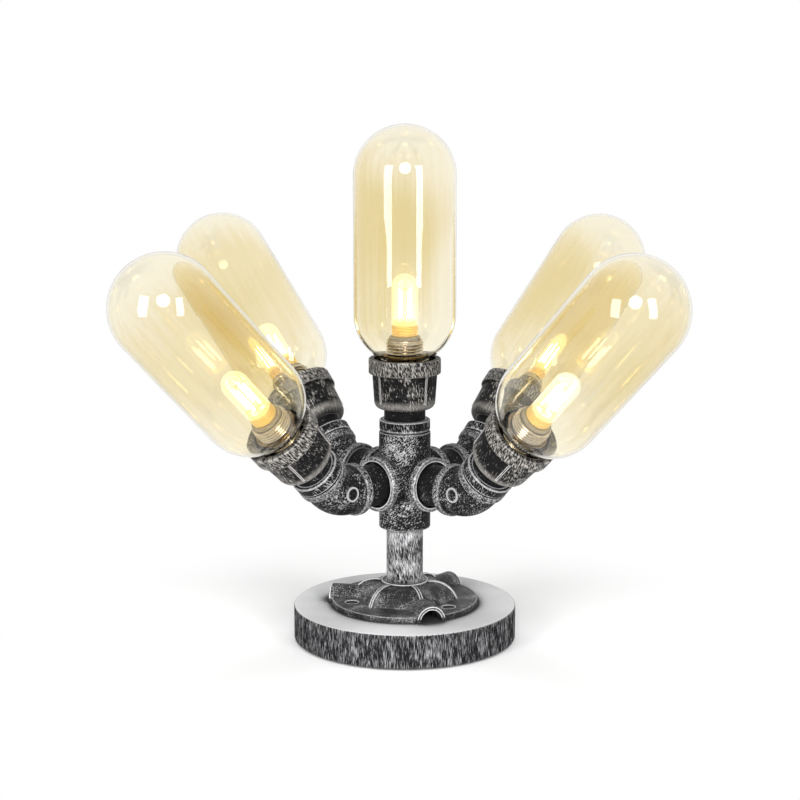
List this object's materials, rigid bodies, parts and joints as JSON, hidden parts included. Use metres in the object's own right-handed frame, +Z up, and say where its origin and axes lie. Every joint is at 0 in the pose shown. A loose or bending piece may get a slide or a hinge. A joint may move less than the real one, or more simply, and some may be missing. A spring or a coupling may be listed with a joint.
{
  "type": "bedside lamp",
  "caption": "Industrial pipe table lamp: round base, cast flange, stem and cross carrying an upright and tilted elbow heads, each with a cast cup, capsule bulb and long amber glass shade.",
  "frame": {"origin": "centre of the underside of the base pad, on the table", "axes": "+Z up along the stem, -Y towards the front of the lamp, +X to the viewer's right"},
  "size_m": [0.3484, 0.3484, 0.351],
  "materials": {
    "base_iron": "satin, brushed",
    "cast_fitting": "dry-brushed",
    "cast_cup": "dry-brushed",
    "pipe": "satin",
    "screw": "blackened",
    "foot_pad": "matte",
    "bushing": "matte",
    "terminal": "matte",
    "holder": "satin",
    "bulb_core": "gloss",
    "bulb_glass": "clear",
    "shade_glass": "clear amber",
    "lead": "matte"
  },
  "bodies": {
    "stand": {"base_disc": "base_iron", "base_pad": "foot_pad", "cord_bushing": "bushing", "terminal_block": "terminal", "pipe_flange": "cast_fitting", "flange_screws": "screw", "stem_pipe": "pipe", "cross_fitting": "cast_fitting", "arm_nipple_front_right": "pipe", "arm_nipple_back_right": "pipe", "arm_nipple_back_left": "pipe", "arm_nipple_front_left": "pipe", "riser_nipple_centre": "pipe", "lock_collar_centre": "cast_fitting", "cup_centre": "cast_cup", "lampholder_centre": "holder", "leads_centre": "lead"},
    "arm_front_right": {"elbow_front_right": "cast_fitting", "riser_nipple_front_right": "pipe", "lock_collar_front_right": "cast_fitting", "cup_front_right": "cast_cup", "lampholder_front_right": "holder", "leads_front_right": "lead"},
    "arm_back_right": {"elbow_back_right": "cast_fitting", "riser_nipple_back_right": "pipe", "lock_collar_back_right": "cast_fitting", "cup_back_right": "cast_cup", "lampholder_back_right": "holder", "leads_back_right": "lead"},
    "arm_back_left": {"elbow_back_left": "cast_fitting", "riser_nipple_back_left": "pipe", "lock_collar_back_left": "cast_fitting", "cup_back_left": "cast_cup", "lampholder_back_left": "holder", "leads_back_left": "lead"},
    "arm_front_left": {"elbow_front_left": "cast_fitting", "riser_nipple_front_left": "pipe", "lock_collar_front_left": "cast_fitting", "cup_front_left": "cast_cup", "lampholder_front_left": "holder", "leads_front_left": "lead"},
    "bulb_centre": {"bulb_core_centre": "bulb_core", "bulb_glass_centre": "bulb_glass"},
    "globe_centre": {"shade_centre": "shade_glass"},
    "bulb_front_right": {"bulb_core_front_right": "bulb_core", "bulb_glass_front_right": "bulb_glass"},
    "globe_front_right": {"shade_front_right": "shade_glass"},
    "bulb_back_right": {"bulb_core_back_right": "bulb_core", "bulb_glass_back_right": "bulb_glass"},
    "globe_back_right": {"shade_back_right": "shade_glass"},
    "bulb_back_left": {"bulb_core_back_left": "bulb_core", "bulb_glass_back_left": "bulb_glass"},
    "globe_back_left": {"shade_back_left": "shade_glass"},
    "bulb_front_left": {"bulb_core_front_left": "bulb_core", "bulb_glass_front_left": "bulb_glass"},
    "globe_front_left": {"shade_front_left": "shade_glass"}
  },
  "joints": [
    {"name": "front_right_arm_swivel", "type": "hinge", "parent": "stand", "child": "arm_front_right", "pos_m": [0.04455, -0.04455, 0.1114], "axis": [0.7071, -0.7071, 0], "range_deg": [-45, 45]},
    {"name": "back_right_arm_swivel", "type": "hinge", "parent": "stand", "child": "arm_back_right", "pos_m": [0.04455, 0.04455, 0.1114], "axis": [0.7071, 0.7071, 0], "range_deg": [-45, 45]},
    {"name": "back_left_arm_swivel", "type": "hinge", "parent": "stand", "child": "arm_back_left", "pos_m": [-0.04455, 0.04455, 0.1114], "axis": [-0.7071, 0.7071, 0], "range_deg": [-45, 45]},
    {"name": "front_left_arm_swivel", "type": "hinge", "parent": "stand", "child": "arm_front_left", "pos_m": [-0.04455, -0.04455, 0.1114], "axis": [-0.7071, -0.7071, 0], "range_deg": [-45, 45]},
    {"name": "centre_bulb_pull", "type": "slide", "parent": "stand", "child": "bulb_centre", "axis": [0, 0, 1], "range_m": [0, 0.012]},
    {"name": "centre_shade_lift", "type": "slide", "parent": "stand", "child": "globe_centre", "axis": [0, 0, 1], "range_m": [0, 0.075]},
    {"name": "front_right_bulb_pull", "type": "slide", "parent": "arm_front_right", "child": "bulb_front_right", "axis": [0.5, -0.5, 0.7071], "range_m": [0, 0.012]},
    {"name": "front_right_shade_lift", "type": "slide", "parent": "arm_front_right", "child": "globe_front_right", "axis": [0.5, -0.5, 0.7071], "range_m": [0, 0.075]},
    {"name": "back_right_bulb_pull", "type": "slide", "parent": "arm_back_right", "child": "bulb_back_right", "axis": [0.5, 0.5, 0.7071], "range_m": [0, 0.012]},
    {"name": "back_right_shade_lift", "type": "slide", "parent": "arm_back_right", "child": "globe_back_right", "axis": [0.5, 0.5, 0.7071], "range_m": [0, 0.075]},
    {"name": "back_left_bulb_pull", "type": "slide", "parent": "arm_back_left", "child": "bulb_back_left", "axis": [-0.5, 0.5, 0.7071], "range_m": [0, 0.012]},
    {"name": "back_left_shade_lift", "type": "slide", "parent": "arm_back_left", "child": "globe_back_left", "axis": [-0.5, 0.5, 0.7071], "range_m": [0, 0.075]},
    {"name": "front_left_bulb_pull", "type": "slide", "parent": "arm_front_left", "child": "bulb_front_left", "axis": [-0.5, -0.5, 0.7071], "range_m": [0, 0.012]},
    {"name": "front_left_shade_lift", "type": "slide", "parent": "arm_front_left", "child": "globe_front_left", "axis": [-0.5, -0.5, 0.7071], "range_m": [0, 0.075]}
  ]
}
